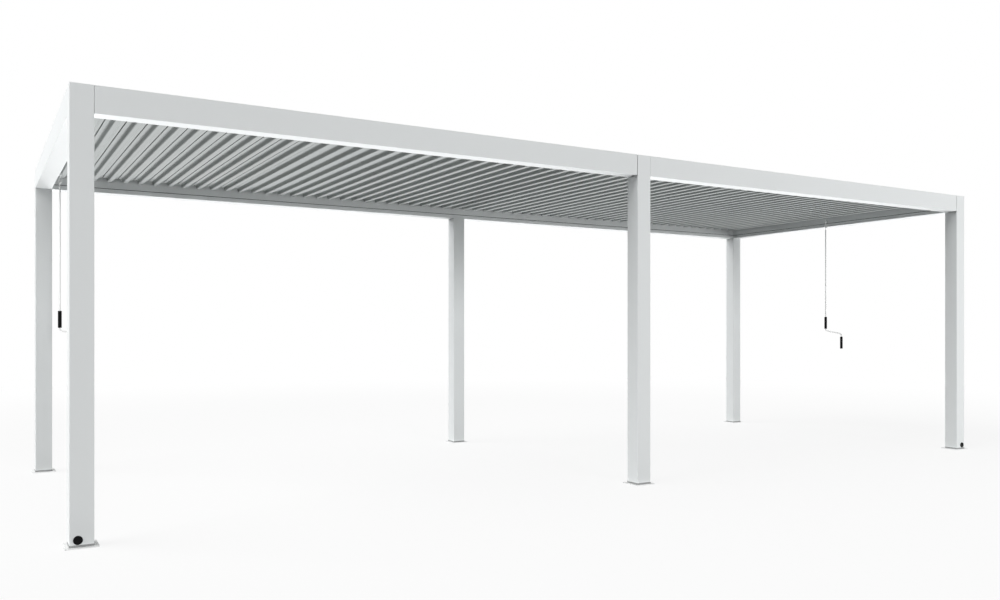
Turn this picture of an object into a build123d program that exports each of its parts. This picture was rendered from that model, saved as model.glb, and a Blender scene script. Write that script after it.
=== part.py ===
from build123d import *
import math
import os

# Overall frame, in millimetres
height = 2500.0
width = 3120.0
post_side = 123.0
post_wall = 3.0
beam_height = 155.0
beam_wall = 3.0
tight_seam = 1.0
open_seam = 4.0

# Roof blades
louvre_pitch = 122.8
left_count = 31
right_count = 32
side_clearance = 13.6
end_clearance = 5.0
blade_gap = 5.0
blade_depth = 50.0
blade_drop = 10.0
pivot_drop = 32.0
lip_skin = 3.0
lip_overhang = 12.6
hook_skin = 2.5
hook_rise = 5.0
hook_drop = 16.0
hook_width = 19.0
channel_slope = 6.0
belly_left = 18.0
belly_right = 12.0
belly_round = 4.0
wall_run = 6.0
cove_run = 6.0
cove_drop = 4.5
shoulder_x = 32.0
shoulder_drop = 28.0
shoulder_step = 4.5
pin_radius = 5.0
pin_sides = 6
pin_clearance = 0.3
pin_setback = 0.5

# Rain gutter inside every beam, whose high inner wall is flush with the posts and carries the blades
gutter_width = 45.0
gutter_back = 3.0
gutter_back_height = 92.0
gutter_skin = 3.0
gutter_top_drop = 10.0
groove_rise = 32.0
groove_height = 5.0
groove_depth = 4.0
step_height = 15.0
step_depth = 4.0
soffit_setback = 10.0

# Base plates
plate_margin = 25.0
plate_thickness = 5.0
bolt_edge = 12.5
bolt_radius = 5.5

# Drain outlets on the two outer front posts
outlet_radius = 24.5
outlet_height = 42.0
outlet_inset = 42.0
outlet_depth = 6.0

# Cranks
crank_offset = 24.0
left_crank_inset = 437.0
right_crank_y = -12.0
boss_side = 26.0
boss_height = 22.0
boss_rise = 44.0
shank_radius = 5.0
shank_clearance = 0.4
head_radius = 8.0
head_sides = 6
head_thickness = 4.0
eye_fall = 46.0
eye_outer = 14.0
eye_inner = 8.0
eye_thickness = 6.0
hook_wire = 3.5
hook_sides = 6
hook_swing = 9.0
hook_tip = 12.0
hook_bend = 5.0
hook_clearance = 0.3
neck_rise = 24.0
rod_radius = 6.0
rod_sides = 8
rod_bottom = 1170.0
grip_radius = 14.0
grip_sides = 16
grip_length = 134.0
grip_clearance = 0.3
grip_gap = 12.0
rod_end = 5.0
arm_reach = 178.0
arm_fall = 34.0
arm_angle = -30.0
bend_radius = 26.0

# Derived places
half_width = width / 2
blade_count = left_count + right_count
inner_length = blade_count * louvre_pitch + 2 * side_clearance
length = inner_length + 2 * post_side
half_length = length / 2
inner_x = inner_length / 2
inner_y = half_width - post_side
middle_x = -inner_x + side_clearance + left_count * louvre_pitch
pivot_z = height - pivot_drop
gutter_wall = step_depth + gutter_skin
gutter_low_drop = beam_height - beam_wall
boss_low = height - gutter_low_drop + boss_rise
boss_top = boss_low + boss_height
eye_z = boss_low - eye_fall
left_crank_y = inner_y - left_crank_inset
blade_half = inner_y - end_clearance


def box(x0, x1, y0, y1, z0, z1):
    return Pos((x0 + x1) / 2, (y0 + y1) / 2, (z0 + z1) / 2) * Box(x1 - x0, y1 - y0, z1 - z0)


def save(name, *solids):
    shape = solids[0] if len(solids) == 1 else Compound(children=list(solids))
    export_step(shape, f"parts/{name}.step")


def outline(*points):
    return make_face(Polyline(*points, close=True))


def along_x(face_yz, x0, x1):
    """A Y-Z outline, drawn on a plane whose axes are Y and Z, run from x0 to x1."""
    plane = Plane(origin=(x0, 0, 0), x_dir=(0, 1, 0), z_dir=(1, 0, 0))
    return extrude(plane * face_yz, x1 - x0)


def along_y(face_xz, y0, y1):
    """An X-Z outline, drawn looking along Y with Z up, run from y0 to y1."""
    plane = Plane(origin=(0, y0, 0), x_dir=(1, 0, 0), z_dir=(0, -1, 0))
    return extrude(plane * face_xz, -(y1 - y0))


# Posts: square tubes up to the roof's top edge
def post(x, y, notched):
    """One post centred on x, y. A middle post is set back inside its top, where the gutter runs past it."""
    half = post_side / 2
    inside = half - post_wall
    solid = box(x - half, x + half, y - half, y + half, plate_thickness, height)
    solid -= box(x - inside, x + inside, y - inside, y + inside, plate_thickness, height - post_wall)
    if notched:
        inward = 1 if y < 0 else -1
        face = y + inward * half
        back = face - inward * gutter_width
        notch_low = height - gutter_low_drop
        solid -= box(x - half, x + half, *sorted((back, face)), notch_low, height)
        solid += box(x - half, x + half, *sorted((back, back - inward * post_wall)), notch_low, height)
    return solid


def base_plate(x, y):
    """A flat foot with an anchor hole on either side of the post."""
    half = post_side / 2 + plate_margin
    plate = box(x - half, x + half, y - half, y + half, 0, plate_thickness)
    hole = half - bolt_edge
    drills = [Pos(x + side * hole, y, 0) * Cylinder(bolt_radius, 3 * plate_thickness) for side in (-1, 1)]
    return plate - drills


def outlet(x):
    """A round drain cap on the front face of a post."""
    return Pos(x, -half_width - outlet_depth / 2, outlet_height) * Rot(90, 0, 0) * Cylinder(
        outlet_radius, outlet_depth)


# Beam sections, drawn with the outer face at 0, the inner face at post_side and the top edge at 0
def beam_section():
    """A closed box with a flange at its foot that the gutter stands on."""
    back = post_side - gutter_width
    flange = post_side - soffit_setback
    skin = outline(
        (0, -beam_height), (flange, -beam_height), (flange, -gutter_low_drop), (back, -gutter_low_drop),
        (back, 0), (0, 0),
    )
    hollow = outline(
        (beam_wall, beam_wall - beam_height), (back - beam_wall, beam_wall - beam_height),
        (back - beam_wall, -beam_wall), (beam_wall, -beam_wall),
    )
    return skin - hollow


def gutter_section():
    """A trough with a high inner wall, which has a groove above its foot and steps back below it."""
    face = post_side
    back = face - gutter_width
    trough = back + gutter_back
    lower = face - step_depth
    wall = face - gutter_wall
    foot = -gutter_low_drop
    floor = foot + gutter_skin
    step = foot + step_height
    groove = face - groove_depth
    groove_low = foot + groove_rise
    groove_top = groove_low + groove_height
    back_top = foot + gutter_back_height
    return outline(
        (back, foot), (lower, foot), (lower, step), (face, step), (face, groove_low), (groove, groove_low),
        (groove, groove_top), (face, groove_top), (face, -gutter_top_drop), (wall, -gutter_top_drop),
        (wall, floor), (trough, floor), (trough, back_top), (back, back_top),
    )


def front_run(section, x0, x1):
    return along_x(Pos(-half_width, height) * section, x0, x1)


def left_run(section):
    return along_y(Pos(-half_length, height) * section, -inner_y, inner_y)


def front_gutter():
    """The front gutter with an open slot in its inner wall for each blade's pivot pin."""
    half = pin_radius + pin_clearance
    slots = [box(blade_x(i) - half, blade_x(i) + half, -half_width, 0, pivot_z - half, height)
             for i in range(blade_count)]
    return front_run(gutter_section(), -inner_x, inner_x) - slots


def left_flashing():
    """A fixed cover over the left gutter, with a lip over the first blade's rain hook."""
    back = -inner_x - gutter_width
    tip = -inner_x + side_clearance + lip_overhang
    top = height - gutter_top_drop + lip_skin
    return along_y(outline((back, top), (tip, top), (tip, top - lip_skin), (back, top - lip_skin)),
                   -inner_y, inner_y)


def right_flashing():
    """A fixed rain hook under the last blade's lip, carried by the right gutter's inner wall."""
    left = inner_x - side_clearance + blade_gap / 2
    right = inner_x
    floor = height - blade_drop - hook_drop
    return along_y(outline(
        (right, floor), (right, floor - hook_skin), (left, floor - hook_skin), (left, floor + hook_rise),
        (left + hook_skin, floor + hook_rise), (left + hook_skin, floor),
    ), -inner_y, inner_y)


# Roof blades
def blade_x(index):
    return -inner_x + side_clearance + louvre_pitch * (index + 0.5)


def blade_section():
    """The blade's section about its pivot: rain hook at the left, coved belly, lip at the right."""
    top = pivot_drop - blade_drop
    low = top - blade_depth
    left = -(louvre_pitch - blade_gap) / 2
    right = louvre_pitch / 2 - blade_gap
    tip = louvre_pitch / 2 + lip_overhang
    floor = top - hook_drop
    under = floor - hook_skin
    channel = left + hook_width
    wall_foot = -belly_left - belly_round
    wall_head = wall_foot - wall_run
    shoulder = top - shoulder_drop
    return outline(
        (left, under), (wall_head - cove_run, under), (wall_head, under - cove_drop),
        (wall_foot, low + belly_round), (-belly_left, low), (belly_right, low), (shoulder_x, shoulder),
        (shoulder_x, shoulder + shoulder_step), (right, under), (right, top - lip_skin),
        (tip, top - lip_skin), (tip, top), (channel + channel_slope, top), (channel, floor),
        (left + hook_skin, floor), (left + hook_skin, floor + hook_rise), (left, floor + hook_rise),
    )


def blade():
    """One blade about its pivot axis, with a pin at each end."""
    reach = end_clearance + gutter_wall - pin_setback
    body = along_y(blade_section(), -blade_half, blade_half)
    pin = RegularPolygon(pin_radius, pin_sides)
    tip = blade_half + reach
    return body + along_y(pin, -tip, -blade_half) + along_y(pin, blade_half, tip)


# Cranks, each drawn about its own upright turning axis
def crank_boss():
    """The drive's outlet on the left gutter's inner wall, bored for the eye's shank."""
    half = boss_side / 2
    block = box(-crank_offset, half, -half, half, boss_low, boss_top)
    return block - Pos(0, 0, boss_top) * Cylinder(shank_radius + shank_clearance, 3 * boss_height)


def crank_eye():
    """The turning eye: a head above the boss, a shank through it and a flat eye plate below."""
    head_z = boss_top + shank_clearance
    plate_top = eye_z + eye_outer
    plate = make_face([
        Polyline((eye_outer, eye_z), (eye_outer, plate_top), (-eye_outer, plate_top), (-eye_outer, eye_z)),
        ThreePointArc((-eye_outer, eye_z), (0, eye_z - eye_outer), (eye_outer, eye_z)),
    ]) - Pos(0, eye_z) * Circle(eye_inner)
    shank = Pos(0, 0, (plate_top + head_z) / 2) * Cylinder(shank_radius, head_z - plate_top)
    head = Pos(0, 0, head_z) * extrude(RegularPolygon(head_radius, head_sides), head_thickness)
    return along_y(plate, -eye_thickness / 2, eye_thickness / 2) + shank + head


def bend_run():
    """How far a bend of the rod reaches along each of its two straight runs."""
    corner = Vector(0, 0, -1).get_angle(Vector(arm_reach, 0, -arm_fall))
    return bend_radius * math.tan(math.radians(corner / 2))


def grip_places():
    """The sideways place and the lower end of the upper and the lower grip."""
    upper = rod_bottom + bend_run() + grip_clearance
    lower = rod_bottom - arm_fall - bend_run() - grip_gap - grip_length
    return (0, upper), (arm_reach, lower)


def crank_hook():
    """The bent wire that hangs in the eye and runs down into the rod."""
    rest_z = eye_z - eye_inner + hook_wire + hook_clearance
    neck_z = eye_z - eye_outer - neck_rise
    path = FilletPolyline(
        (0, 0, neck_z), (0, 0, neck_z + hook_bend), (0, -hook_swing, neck_z + neck_rise - hook_bend),
        (0, -hook_swing, rest_z), (0, hook_swing, rest_z), (0, hook_swing, rest_z - hook_tip),
        radius=hook_bend)
    return sweep(Plane(origin=(0, 0, neck_z)) * RegularPolygon(hook_wire, hook_sides), path=path)


def crank_rod():
    """The hook, the long rod, the bent arm and the end that carries the lower grip."""
    top = eye_z - eye_outer - neck_rise
    lower_grip = grip_places()[1][1]
    path = FilletPolyline(
        (0, 0, top), (0, 0, rod_bottom), (arm_reach, 0, rod_bottom - arm_fall),
        (arm_reach, 0, lower_grip - rod_end), radius=bend_radius)
    ring = Plane(origin=(0, 0, top), z_dir=(0, 0, -1)) * RegularPolygon(rod_radius, rod_sides)
    return crank_hook() + sweep(ring, path=path)


def crank_grips():
    """Two sleeves that a hand holds, loose on the rod."""
    bore = RegularPolygon(rod_radius + grip_clearance, rod_sides)
    sleeve = extrude(RegularPolygon(grip_radius, grip_sides) - bore, grip_length)
    return [Pos(x, 0, low) * sleeve for x, low in grip_places()]


def main():
    os.makedirs("parts", exist_ok=True)
    post_x = half_length - post_side / 2
    post_y = half_width - post_side / 2
    columns = {"left": -post_x, "middle": middle_x, "right": post_x}
    rows = {"front": -post_y, "rear": post_y}
    for row, y in rows.items():
        for column, x in columns.items():
            save(f"{row}_{column}_post", post(x, y, column == "middle"))
    save("base_plates", *[base_plate(x, y) for y in rows.values() for x in columns.values()])
    save("drain_outlets", *[outlet(side * (half_length - outlet_inset)) for side in (-1, 1)])

    left_beam = front_run(beam_section(), -inner_x + tight_seam, middle_x - post_side / 2 - open_seam)
    right_beam = front_run(beam_section(), middle_x + post_side / 2 + tight_seam, inner_x - open_seam)
    save("front_left_beam", left_beam)
    save("front_right_beam", right_beam)
    save("rear_left_beam", mirror(left_beam, about=Plane.XZ))
    save("rear_right_beam", mirror(right_beam, about=Plane.XZ))
    end_beam = left_run(beam_section())
    save("left_beam", end_beam)
    save("right_beam", mirror(end_beam, about=Plane.YZ))

    gutter = front_gutter()
    save("front_gutter", gutter)
    save("rear_gutter", mirror(gutter, about=Plane.XZ))
    end_gutter = left_run(gutter_section())
    save("left_gutter", end_gutter)
    save("right_gutter", mirror(end_gutter, about=Plane.YZ))
    save("edge_flashings", left_flashing(), right_flashing())

    one_blade = blade()
    for index in range(left_count):
        save(f"left_louvre_{index + 1:02d}", Pos(blade_x(index), 0, pivot_z) * one_blade)
    save("right_louvres", *[Pos(blade_x(i), 0, pivot_z) * one_blade for i in range(left_count, blade_count)])

    crank_x = inner_x - crank_offset
    boss = crank_boss()
    left_place = Pos(-crank_x, left_crank_y, 0)
    right_place = Pos(crank_x, right_crank_y, 0)
    save("crank_bosses", left_place * boss, right_place * mirror(boss, about=Plane.YZ))
    for side, place in (("left", left_place), ("right", right_place)):
        turned = place * Rot(0, 0, arm_angle)
        save(f"{side}_crank_eye", turned * crank_eye())
        save(f"{side}_crank_rod", turned * crank_rod())
        save(f"{side}_crank_grips", *[turned * grip for grip in crank_grips()])


main()
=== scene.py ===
import bpy
import bmesh
import math
from mathutils import Matrix, Vector


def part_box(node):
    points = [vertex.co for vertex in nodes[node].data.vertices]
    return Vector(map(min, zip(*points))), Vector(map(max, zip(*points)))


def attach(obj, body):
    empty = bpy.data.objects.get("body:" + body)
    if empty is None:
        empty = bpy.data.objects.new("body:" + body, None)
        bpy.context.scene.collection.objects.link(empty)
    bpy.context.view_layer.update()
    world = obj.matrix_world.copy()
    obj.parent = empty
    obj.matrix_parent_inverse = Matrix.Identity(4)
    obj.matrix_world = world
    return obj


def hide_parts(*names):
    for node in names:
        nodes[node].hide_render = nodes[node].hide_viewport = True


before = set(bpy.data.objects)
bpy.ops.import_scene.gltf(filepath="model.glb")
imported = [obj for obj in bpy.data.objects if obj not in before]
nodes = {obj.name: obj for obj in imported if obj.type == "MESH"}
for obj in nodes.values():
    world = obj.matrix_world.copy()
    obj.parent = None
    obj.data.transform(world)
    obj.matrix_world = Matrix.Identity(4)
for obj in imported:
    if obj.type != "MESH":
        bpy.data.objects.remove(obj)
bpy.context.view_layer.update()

# Camera: metres and degrees, pixels of the photo, and millimetres for the sensor
CAMERA_PLACE = (-4.448, -6.845, 1.1665)
CAMERA_TURN = -30.53
CAMERA_NEAR = 0.05
CAMERA_FAR = 400
PICTURE_WIDTH = 1000
FOCAL_PIXELS = 893.5
HORIZON_DROP = 31.0
SENSOR = 36.0

# Crank sizes, in metres and degrees
ROD_RADIUS = 0.006
WIRE_RADIUS = 0.0035
GRIP_LENGTH = 0.134
GRIP_RADIUS = 0.014
GRIP_BORE = 0.0063
GRIP_ROUND = 0.003
ARM_REACH = 0.178
ARM_FALL = 0.034
ARM_ANGLE = -30.0
BEND_RADIUS = 0.026
HOOK_SWING = 0.009
HOOK_TIP = 0.012
HOOK_BEND = 0.005
NECK_RISE = 0.024
ROD_END = 0.005
EYE_INNER = 0.008
EYE_OUTER = 0.014

# Free space between a loose piece and what holds it, in metres
CLEARANCE = 0.0003

# The drain cap's outline from its back to its dish, in parts of its radius and depth
CAP_OUTLINE = ((0, 0), (1, 0), (1, 0.55), (0.96, 0.9), (0.9, 1), (0.8, 1), (0.72, 0.72), (0, 0.6))

# Edge rounding of the posts, beams and crank bosses: width in metres, and the least angle in degrees
EDGE_WIDTH = 0.0015
EDGE_ANGLE = 40

# Grey ring round the foot of each post, which paints the contact shade there, in metres
FOOT_SHADE_HEIGHT = 0.011
FOOT_SHADE_PROUD = 0.0015
FOOT_SHADE_ROUND = 0.001

# The groove in each gutter's inner wall, and how far the black strip that paints the groove's shade stays
# back, in metres
GROOVE_RISE = 0.032
GROOVE_HEIGHT = 0.005
GROOVE_DEPTH = 0.004
STRIP_SETBACK = 0.0006

# How finely the round shapes are divided
ROD_SIDES = 24
WIRE_SIDES = 16
LATHE_SIDES = 48
BEND_STEPS = 8
GRIP_STEPS = 5
NOSE_STEPS = 8
EDGE_STEPS = 2

# How close two points are merged, in metres: in the pieces made here and in the carried-over nodes
MERGE_PIECE = 1e-6
MERGE_NODE = 1e-5

# Kinds of surface: roughness and the range it wanders in, (scale per metre, detail) of the noise behind the
# tone, the gloss and the grain, and how strong the grain is
POWDER_COAT = {
    "roughness": 0.45, "range": (0.38, 0.52),
    "tone": (1.7, 3.0), "gloss": (14.0, 4.0), "grain": (900.0, 1.0), "strength": 0.12}
MOULDED = {
    "roughness": 0.5, "range": (0.42, 0.62),
    "tone": (60.0, 3.0), "gloss": (240.0, 2.0), "grain": (1600.0, 1.0), "strength": 0.3}
GRAIN_DEPTH = 0.0002

# The floor: half its width in metres, its dark tone for bounced light, and the white that the camera sees
FLOOR_REACH = 120.0
FLOOR_TONE = (0.08, 0.08, 0.08)
FLOOR_ROUGHNESS = 0.9
FLOOR_WHITE = (0.9, 0.9, 0.9)

# How much of the backdrop's white the floor has near the object, and from where to where, in metres from the
# origin, that grows to all of it
FADE_SHARE = 0.87
FADE_START = 5.0
FADE_END = 14.0

# Light of the sky
SKY_TONE = (0.97, 1.0, 0.99)
SKY_STRENGTH = 0.14

# Suns: name, the heading and height that the light comes from, strength and softness, with angles in degrees.
# The last two shine up from below and stand for the light that a pale ground throws back.
SUNS = (
    ("left", 170, 28, 3.65, 65),
    ("front", -92, 10, 1.55, 20),
    ("bounce", 0, -72, 2.4, 30),
    ("rear_bounce", 78, -36, 2.1, 16))

# The soft panel at the right: place and size in metres, and power in watts
PANEL_PLACE = (9, -9, 1)
PANEL_SIZE = (6, 2)
PANEL_POWER = 300


# Materials
def material(name, color, roughness):
    """A principled material, with its node tree and shader."""
    made = bpy.data.materials.new(name)
    made.use_nodes = True
    shader = made.node_tree.nodes["Principled BSDF"]
    shader.inputs["Base Color"].default_value = (*color, 1)
    shader.inputs["Roughness"].default_value = roughness
    return made, made.node_tree, shader


def noise(tree, scale, detail):
    """Noise in the object's own metres."""
    place = tree.nodes.new("ShaderNodeTexCoord")
    texture = tree.nodes.new("ShaderNodeTexNoise")
    texture.inputs["Scale"].default_value = scale
    texture.inputs["Detail"].default_value = detail
    tree.links.new(place.outputs["Object"], texture.inputs["Vector"])
    return texture.outputs["Fac"]


def spread(tree, value, low, high):
    """Maps a 0 to 1 value to the range low to high."""
    ramp = tree.nodes.new("ShaderNodeMapRange")
    ramp.inputs["To Min"].default_value = low
    ramp.inputs["To Max"].default_value = high
    tree.links.new(value, ramp.inputs["Value"])
    return ramp.outputs["Result"]


def tinted(tree, value, first, second):
    """Blends two close colours by a value."""
    mix = tree.nodes.new("ShaderNodeMix")
    mix.data_type = "RGBA"
    mix.inputs["A"].default_value = (*first, 1)
    mix.inputs["B"].default_value = (*second, 1)
    tree.links.new(value, mix.inputs["Factor"])
    return mix.outputs["Result"]


def bumped(tree, shader, value, strength):
    """Gives a shader a fine relief that follows a value."""
    bump = tree.nodes.new("ShaderNodeBump")
    bump.inputs["Strength"].default_value = strength
    bump.inputs["Distance"].default_value = GRAIN_DEPTH
    tree.links.new(value, bump.inputs["Height"])
    tree.links.new(bump.outputs["Normal"], shader.inputs["Normal"])


def coating(name, kind, light, dark, shine):
    """A kind of surface with a slight drift of tone, a slight change of gloss and a fine grain."""
    made, tree, shader = material(name, light, kind["roughness"])
    shader.inputs["Specular IOR Level"].default_value = shine
    tree.links.new(tinted(tree, noise(tree, *kind["tone"]), light, dark), shader.inputs["Base Color"])
    tree.links.new(spread(tree, noise(tree, *kind["gloss"]), *kind["range"]), shader.inputs["Roughness"])
    bumped(tree, shader, noise(tree, *kind["grain"]), kind["strength"])
    return made


frame_paint = coating("frame_paint", POWDER_COAT, (0.795, 0.815, 0.818), (0.775, 0.795, 0.798), 0.08)
# The blades' paint is a darker copy of the frame's white: painted shade for the roof's underside
shaded_blade_paint = coating("shaded_blade_paint", POWDER_COAT, (0.40, 0.418, 0.415), (0.385, 0.403, 0.40), 0.06)
crank_paint = coating("crank_paint", POWDER_COAT, (0.90, 0.905, 0.90), (0.88, 0.885, 0.88), 1.0)
black_plastic = coating("black_plastic", MOULDED, (0.006, 0.006, 0.0065), (0.012, 0.012, 0.0125), 0.05)
# A mid grey for the rings at the posts' feet: painted contact shade
foot_shade_grey = coating("foot_shade_grey", MOULDED, (0.26, 0.265, 0.265), (0.32, 0.325, 0.325), 0.15)


# Mesh helpers
def finished(name, work, surface, body, node=None, smooth=True):
    """Puts the work in the scene as a piece that rides on a body and may stand for a node."""
    bmesh.ops.remove_doubles(work, verts=work.verts, dist=MERGE_PIECE)
    bmesh.ops.recalc_face_normals(work, faces=work.faces)
    mesh = bpy.data.meshes.new(name)
    work.to_mesh(mesh)
    work.free()
    if smooth:
        for face in mesh.polygons:
            face.use_smooth = True
    mesh.materials.append(surface)
    piece = bpy.data.objects.new(name, mesh)
    bpy.context.collection.objects.link(piece)
    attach(piece, body)
    if node:
        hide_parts(node)


def around(count):
    """Each index of a closed ring with the index after it."""
    return [(index, (index + 1) % count) for index in range(count)]


def turns(sides):
    """The angles of the sides of a full circle."""
    return [2 * math.pi * side / sides for side in range(sides)]


def rounded(points, radius):
    """The points of a path with every inner corner turned into an arc."""
    route = [Vector(points[0])]
    for before, corner, after in zip(points, points[1:], points[2:]):
        corner = Vector(corner)
        back = (Vector(before) - corner).normalized()
        ahead = (Vector(after) - corner).normalized()
        half = back.angle(ahead) / 2
        run = radius / math.tan(half)
        middle = corner + (back + ahead).normalized() * (radius / math.sin(half))
        start = corner + back * run - middle
        end = corner + ahead * run - middle
        axis = start.cross(end).normalized()
        turn = start.angle(end)
        for step in range(BEND_STEPS + 1):
            route.append(middle + Matrix.Rotation(turn * step / BEND_STEPS, 3, axis) @ start)
    return route + [Vector(points[-1])]


def add_tube(work, route, radius, sides):
    """A closed round tube along a route."""
    ahead = (route[1] - route[0]).normalized()
    across = ahead.orthogonal().normalized()
    rings = []
    for index, point in enumerate(route):
        before = route[max(index - 1, 0)]
        after = route[min(index + 1, len(route) - 1)]
        tangent = (after - before).normalized()
        across = (across - tangent * across.dot(tangent)).normalized()
        other = tangent.cross(across)
        rings.append([
            work.verts.new(point + (across * math.cos(a) + other * math.sin(a)) * radius)
            for a in turns(sides)])
    for low, high in zip(rings, rings[1:]):
        for side, after in around(sides):
            work.faces.new((low[side], low[after], high[after], high[side]))
    work.faces.new(rings[0][::-1])
    work.faces.new(rings[-1])


def add_lathe(work, profile, to_world):
    """Turns a closed loop of (radius, height) points about the local Z axis."""
    rings = [
        [work.verts.new(to_world @ Vector((r * math.cos(a), r * math.sin(a), z))) for r, z in profile]
        for a in turns(LATHE_SIDES)]
    for side, next_side in around(LATHE_SIDES):
        one, two = rings[side], rings[next_side]
        for index, after in around(len(profile)):
            work.faces.new((one[index], two[index], two[after], one[after]))


def add_strip(work, profile, start, along, out):
    """Runs an outline of (outward, upward) points along a straight line."""
    up = Vector((0, 0, 1))
    first, last = (
        [work.verts.new(start + along * part + out * o + up * z) for o, z in profile] for part in (0, 1))
    for index, after in around(len(profile)):
        work.faces.new((first[index], first[after], last[after], last[index]))
    work.faces.new(first[::-1])
    work.faces.new(last)


def add_square_ring(work, low, high):
    """A ring that hugs a square post just above the base plate."""
    foot, top = low[2], low[2] + FOOT_SHADE_HEIGHT
    rings = []
    for grow, z in ((FOOT_SHADE_PROUD, foot), (FOOT_SHADE_PROUD, top), (0, top), (0, foot)):
        x0, x1 = low[0] - grow, high[0] + grow
        y0, y1 = low[1] - grow, high[1] + grow
        rings.append([work.verts.new((x, y, z)) for x, y in ((x0, y0), (x1, y0), (x1, y1), (x0, y1))])
    for one, two in zip(rings, rings[1:] + rings[:1]):
        for side, after in around(4):
            work.faces.new((one[side], one[after], two[after], two[side]))


# Cranks
def crank_frame(side):
    """The crank's upright axis and the turn of its arm, as a matrix from the crank's own space."""
    low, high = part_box(f"{side}_crank_eye")
    middle = (Vector(low) + Vector(high)) / 2
    return Matrix.Translation((middle.x, middle.y, 0)) @ Matrix.Rotation(math.radians(ARM_ANGLE), 4, "Z")


def crank_rod(side):
    """The round rod with its bent arm and the hook that hangs in the eye."""
    place = crank_frame(side)
    eye_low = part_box(f"{side}_crank_eye")[0][2]
    grips_low, grips_high = (corner[2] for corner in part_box(f"{side}_crank_grips"))
    eye_z = eye_low + EYE_OUTER
    neck = eye_low - NECK_RISE
    rest = eye_z - EYE_INNER + WIRE_RADIUS + CLEARANCE
    half = math.acos(ARM_FALL / math.hypot(ARM_REACH, ARM_FALL)) / 2
    elbow = grips_high - GRIP_LENGTH - CLEARANCE - BEND_RADIUS * math.tan(half)
    rod = [(0, 0, neck), (0, 0, elbow), (ARM_REACH, 0, elbow - ARM_FALL), (ARM_REACH, 0, grips_low - ROD_END)]
    hook = [
        (0, 0, neck), (0, 0, neck + HOOK_BEND), (0, -HOOK_SWING, neck + NECK_RISE - HOOK_BEND),
        (0, -HOOK_SWING, rest), (0, HOOK_SWING, rest), (0, HOOK_SWING, rest - HOOK_TIP)]
    work = bmesh.new()
    add_tube(work, rounded(rod, BEND_RADIUS), ROD_RADIUS, ROD_SIDES)
    add_tube(work, rounded(hook, HOOK_BEND), WIRE_RADIUS, WIRE_SIDES)
    bmesh.ops.transform(work, matrix=place, verts=work.verts)
    finished(f"{side}_crank_tube", work, crank_paint, f"{side}_crank", f"{side}_crank_rod")


def crank_grips(side):
    """Two sleeves with rounded ends."""
    place = crank_frame(side)
    grips_low, grips_high = (corner[2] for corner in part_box(f"{side}_crank_grips"))
    low_end = [
        (GRIP_RADIUS - GRIP_ROUND * (1 - math.sin(a)), GRIP_ROUND * (1 - math.cos(a)))
        for a in (math.pi / 2 * step / GRIP_STEPS for step in range(GRIP_STEPS + 1))]
    high_end = [(r, GRIP_LENGTH - z) for r, z in reversed(low_end)]
    profile = [(GRIP_BORE, 0), *low_end, *high_end, (GRIP_BORE, GRIP_LENGTH)]
    work = bmesh.new()
    add_lathe(work, profile, place @ Matrix.Translation((0, 0, grips_high - GRIP_LENGTH)))
    add_lathe(work, profile, place @ Matrix.Translation((ARM_REACH, 0, grips_low)))
    finished(f"{side}_crank_sleeves", work, black_plastic, f"{side}_crank", f"{side}_crank_grips")


# Small trim
def drain_caps():
    """Round caps with a rolled rim and a shallow dish."""
    low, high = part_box("drain_outlets")
    radius = (high[2] - low[2]) / 2
    depth = high[1] - low[1]
    profile = [(radius * across, depth * out) for across, out in CAP_OUTLINE]
    turn = Matrix.Rotation(math.radians(90), 4, "X")
    work = bmesh.new()
    for x in (low[0] + radius, high[0] - radius):
        add_lathe(work, profile, Matrix.Translation((x, high[1], low[2] + radius)) @ turn)
    finished("drain_caps", work, black_plastic, "frame", "drain_outlets")


def groove_shade_strips():
    """A round-nosed black strip in the groove of each gutter's inner wall, which paints the groove's shade as
    a dark line.
    """
    half = GROOVE_HEIGHT / 2 - CLEARANCE
    nose = GROOVE_DEPTH - STRIP_SETBACK - half
    profile = [(CLEARANCE, half), (CLEARANCE, -half)]
    for a in (math.pi * step / NOSE_STEPS for step in range(NOSE_STEPS + 1)):
        profile.append((nose + half * math.sin(a), -half * math.cos(a)))
    work = bmesh.new()
    for name, axis, inward in (("front", 0, 1), ("rear", 0, -1), ("left", 1, 1), ("right", 1, -1)):
        low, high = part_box(f"{name}_gutter")
        across = 1 - axis
        start = [0, 0, low[2] + GROOVE_RISE + GROOVE_HEIGHT / 2]
        start[axis] = low[axis] + CLEARANCE
        start[across] = (high if inward > 0 else low)[across] - inward * GROOVE_DEPTH
        along, out = Vector((0, 0, 0)), Vector((0, 0, 0))
        along[axis] = high[axis] - low[axis] - 2 * CLEARANCE
        out[across] = inward
        add_strip(work, profile, Vector(start), along, out)
    # Black plastic here paints the groove's shade
    finished("groove_shade_strips", work, black_plastic, "frame", smooth=False)


def foot_shade_rings():
    """A thin square grey ring round the foot of each post, just above its base plate, which paints the
    contact shade there.
    """
    work = bmesh.new()
    for name in nodes:
        if name.endswith("_post"):
            low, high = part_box(name)
            add_square_ring(work, low, high)
    bmesh.ops.bevel(
        work, geom=work.edges[:], offset=FOOT_SHADE_ROUND, segments=EDGE_STEPS, affect="EDGES", profile=0.5)
    finished("foot_shade_rings", work, foot_shade_grey, "frame")


# Carried-over nodes
def dress(name, surface, width=0):
    """Gives a node its paint and, where a width is given, rounded edges."""
    node = nodes[name]
    node.data.materials.clear()
    node.data.materials.append(surface)
    if width:
        weld = node.modifiers.new("weld", "WELD")
        weld.merge_threshold = MERGE_NODE
        edge = node.modifiers.new("edge", "BEVEL")
        edge.width = width
        edge.segments = EDGE_STEPS
        edge.limit_method = "ANGLE"
        edge.angle_limit = math.radians(EDGE_ANGLE)


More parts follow.
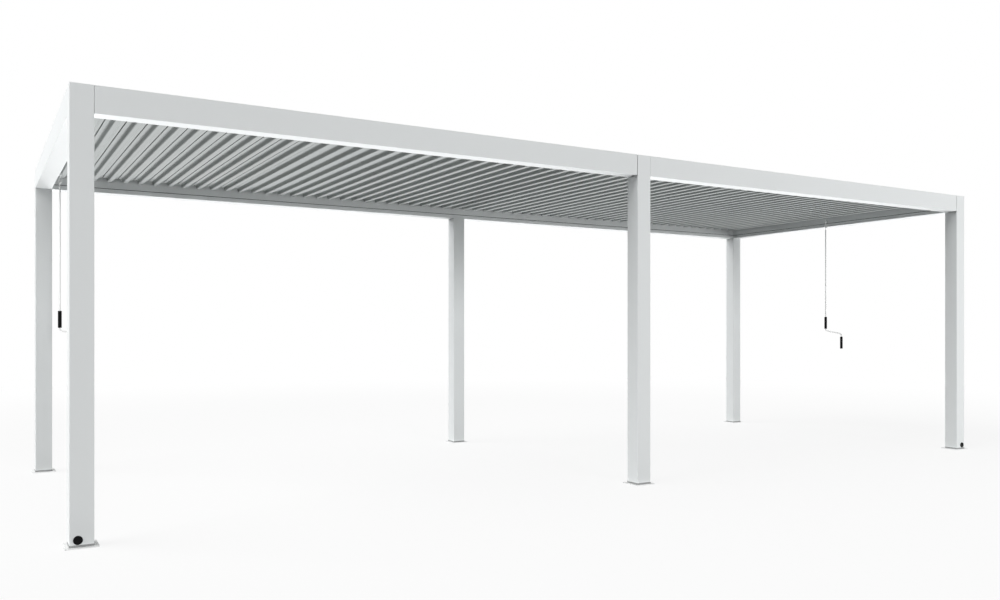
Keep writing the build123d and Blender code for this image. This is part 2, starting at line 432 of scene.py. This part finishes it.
for name in nodes:
    if "louvre" in name or name == "edge_flashings":
        # Blades and edge flashings take the darker copy of the white, which paints the shade under the roof
        dress(name, shaded_blade_paint)
    elif name.endswith(("_eye", "_plates")):
        dress(name, crank_paint)
    elif name.endswith(("_post", "_beam", "_bosses")):
        dress(name, frame_paint, EDGE_WIDTH)
    elif not name.endswith(("_rod", "_grips", "outlets")):
        dress(name, frame_paint)

for side in ("left", "right"):
    crank_rod(side)
    crank_grips(side)
drain_caps()
groove_shade_strips()
foot_shade_rings()


# Studio
def shown(tree):
    """1 where the camera sees a surface, straight or by way of a glossy or clear one, else 0."""
    path = tree.nodes.new("ShaderNodeLightPath")
    value = path.outputs["Is Camera Ray"]
    for name in ("Is Glossy Ray", "Is Transmission Ray"):
        larger = tree.nodes.new("ShaderNodeMath")
        larger.operation = "MAXIMUM"
        tree.links.new(value, larger.inputs[0])
        tree.links.new(path.outputs[name], larger.inputs[1])
        value = larger.outputs["Value"]
    return value


def floor():
    """A floor that looks pale, fades into the backdrop, throws back little light and casts no shadow."""
    mesh = bpy.data.meshes.new("floor")
    low, high = -FLOOR_REACH, FLOOR_REACH
    mesh.from_pydata([(low, low, 0), (high, low, 0), (high, high, 0), (low, high, 0)], [], [(0, 1, 2, 3)])
    made, tree, shader = material("floor", FLOOR_TONE, FLOOR_ROUGHNESS)
    shader.inputs["Specular IOR Level"].default_value = 0
    glow = tree.nodes.new("ShaderNodeEmission")
    place = tree.nodes.new("ShaderNodeTexCoord")
    span = tree.nodes.new("ShaderNodeVectorMath")
    span.operation = "LENGTH"
    fade = tree.nodes.new("ShaderNodeMapRange")
    fade.interpolation_type = "SMOOTHSTEP"
    fade.inputs["From Min"].default_value = FADE_START
    fade.inputs["From Max"].default_value = FADE_END
    fade.inputs["To Min"].default_value = FADE_SHARE
    white = tree.nodes.new("ShaderNodeBsdfDiffuse")
    white.inputs["Color"].default_value = (*FLOOR_WHITE, 1)
    seen = tree.nodes.new("ShaderNodeMixShader")
    both = tree.nodes.new("ShaderNodeMixShader")
    tree.links.new(place.outputs["Object"], span.inputs[0])
    tree.links.new(span.outputs["Value"], fade.inputs["Value"])
    tree.links.new(fade.outputs["Result"], seen.inputs["Fac"])
    tree.links.new(white.outputs["BSDF"], seen.inputs[1])
    tree.links.new(glow.outputs["Emission"], seen.inputs[2])
    tree.links.new(shown(tree), both.inputs["Fac"])
    tree.links.new(shader.outputs["BSDF"], both.inputs[1])
    tree.links.new(seen.outputs["Shader"], both.inputs[2])
    tree.links.new(both.outputs["Shader"], tree.nodes["Material Output"].inputs["Surface"])
    mesh.materials.append(made)
    plane = bpy.data.objects.new("floor", mesh)
    bpy.context.collection.objects.link(plane)
    plane.visible_shadow = False


def white_world():
    """A soft sky that the camera sees as plain white."""
    world = bpy.data.worlds.new("studio")
    bpy.context.scene.world = world
    world.use_nodes = True
    tree = world.node_tree
    light = tree.nodes["Background"]
    light.inputs["Color"].default_value = (*SKY_TONE, 1)
    light.inputs["Strength"].default_value = SKY_STRENGTH
    white = tree.nodes.new("ShaderNodeBackground")
    white.inputs["Color"].default_value = (1, 1, 1, 1)
    both = tree.nodes.new("ShaderNodeMixShader")
    tree.links.new(shown(tree), both.inputs["Fac"])
    tree.links.new(light.outputs["Background"], both.inputs[1])
    tree.links.new(white.outputs["Background"], both.inputs[2])
    tree.links.new(both.outputs["Shader"], tree.nodes["World Output"].inputs["Surface"])


def hang(lamp, towards_light):
    """Puts a lamp in the scene, turned so that its light comes from that direction."""
    lamp.rotation_mode = "QUATERNION"
    lamp.rotation_quaternion = Vector(towards_light).to_track_quat("Z", "Y")
    bpy.context.collection.objects.link(lamp)


def sun(name, heading, height, strength, softness):
    """A broad soft light, kept out of the gloss, which shows the backdrop."""
    data = bpy.data.lights.new(name, "SUN")
    data.energy = strength
    data.angle = math.radians(softness)
    a, e = math.radians(heading), math.radians(height)
    lamp = bpy.data.objects.new(name, data)
    lamp.visible_glossy = False
    hang(lamp, (math.cos(a) * math.cos(e), math.sin(a) * math.cos(e), math.sin(e)))


def panel(name, place, size, power):
    """A soft panel that faces the frame's origin."""
    data = bpy.data.lights.new(name, "AREA")
    data.shape = "RECTANGLE"
    data.size, data.size_y = size
    data.energy = power
    lamp = bpy.data.objects.new(name, data)
    lamp.location = place
    hang(lamp, place)


def camera():
    """The photo's camera: held level, with the horizon a little below the middle of the picture."""
    data = bpy.data.cameras.new("camera")
    data.sensor_width = SENSOR
    data.lens = SENSOR * FOCAL_PIXELS / PICTURE_WIDTH
    data.shift_y = HORIZON_DROP / PICTURE_WIDTH
    data.clip_start = CAMERA_NEAR
    data.clip_end = CAMERA_FAR
    shot = bpy.data.objects.new("camera", data)
    shot.location = CAMERA_PLACE
    shot.rotation_euler = (math.radians(90), 0, math.radians(CAMERA_TURN))
    bpy.context.collection.objects.link(shot)
    bpy.context.scene.camera = shot


floor()
white_world()
for values in SUNS:
    sun(*values)
panel("right_panel", PANEL_PLACE, PANEL_SIZE, PANEL_POWER)
camera()
bpy.context.scene.view_settings.view_transform = "Standard"
